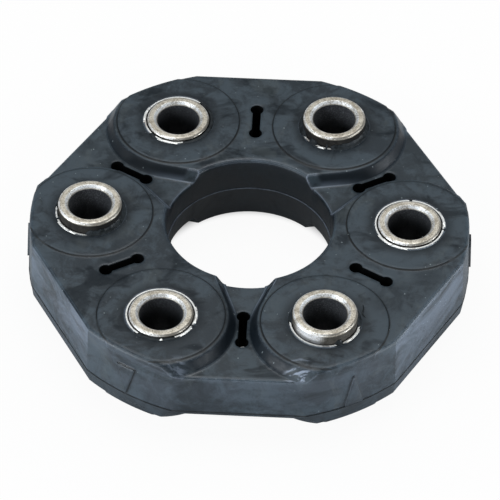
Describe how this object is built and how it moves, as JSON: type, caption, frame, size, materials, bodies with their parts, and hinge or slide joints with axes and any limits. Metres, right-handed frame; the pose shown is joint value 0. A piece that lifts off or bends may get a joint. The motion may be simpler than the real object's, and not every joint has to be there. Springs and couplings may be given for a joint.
{
  "type": "driveshaft flex disc",
  "caption": "Moulded rubber driveshaft coupling disc with steel bolt sleeves of alternating height, thick and thin links, relief slots and an open centre.",
  "frame": {"origin": "centre of the disc, on its axis at mid-thickness", "axes": "+Z along the disc's axis, +X through a bushing whose sleeve stands proud below"},
  "size_m": [0.1344, 0.1272, 0.0312],
  "materials": {
    "rubber": "matt moulded",
    "sleeve_steel": "matt turned",
    "collar_steel": "bright pressed",
    "cord": "wound cord"
  },
  "bodies": {
    "root": {"rubber_body": "rubber", "sleeve_1": "sleeve_steel", "sleeve_2": "sleeve_steel", "sleeve_3": "sleeve_steel", "sleeve_4": "sleeve_steel", "sleeve_5": "sleeve_steel", "sleeve_6": "sleeve_steel", "collar_upper_1": "collar_steel", "collar_upper_2": "collar_steel", "collar_upper_3": "collar_steel", "collar_upper_4": "collar_steel", "collar_upper_5": "collar_steel", "collar_upper_6": "collar_steel", "collar_lower_1": "collar_steel", "collar_lower_2": "collar_steel", "collar_lower_3": "collar_steel", "collar_lower_4": "collar_steel", "collar_lower_5": "collar_steel", "collar_lower_6": "collar_steel", "drive_cord_upper_1": "cord", "drive_cord_upper_2": "cord", "drive_cord_upper_3": "cord", "drive_cord_lower_1": "cord", "drive_cord_lower_2": "cord", "drive_cord_lower_3": "cord", "coast_cord_1": "cord", "coast_cord_2": "cord", "coast_cord_3": "cord"}
  },
  "joints": []
}
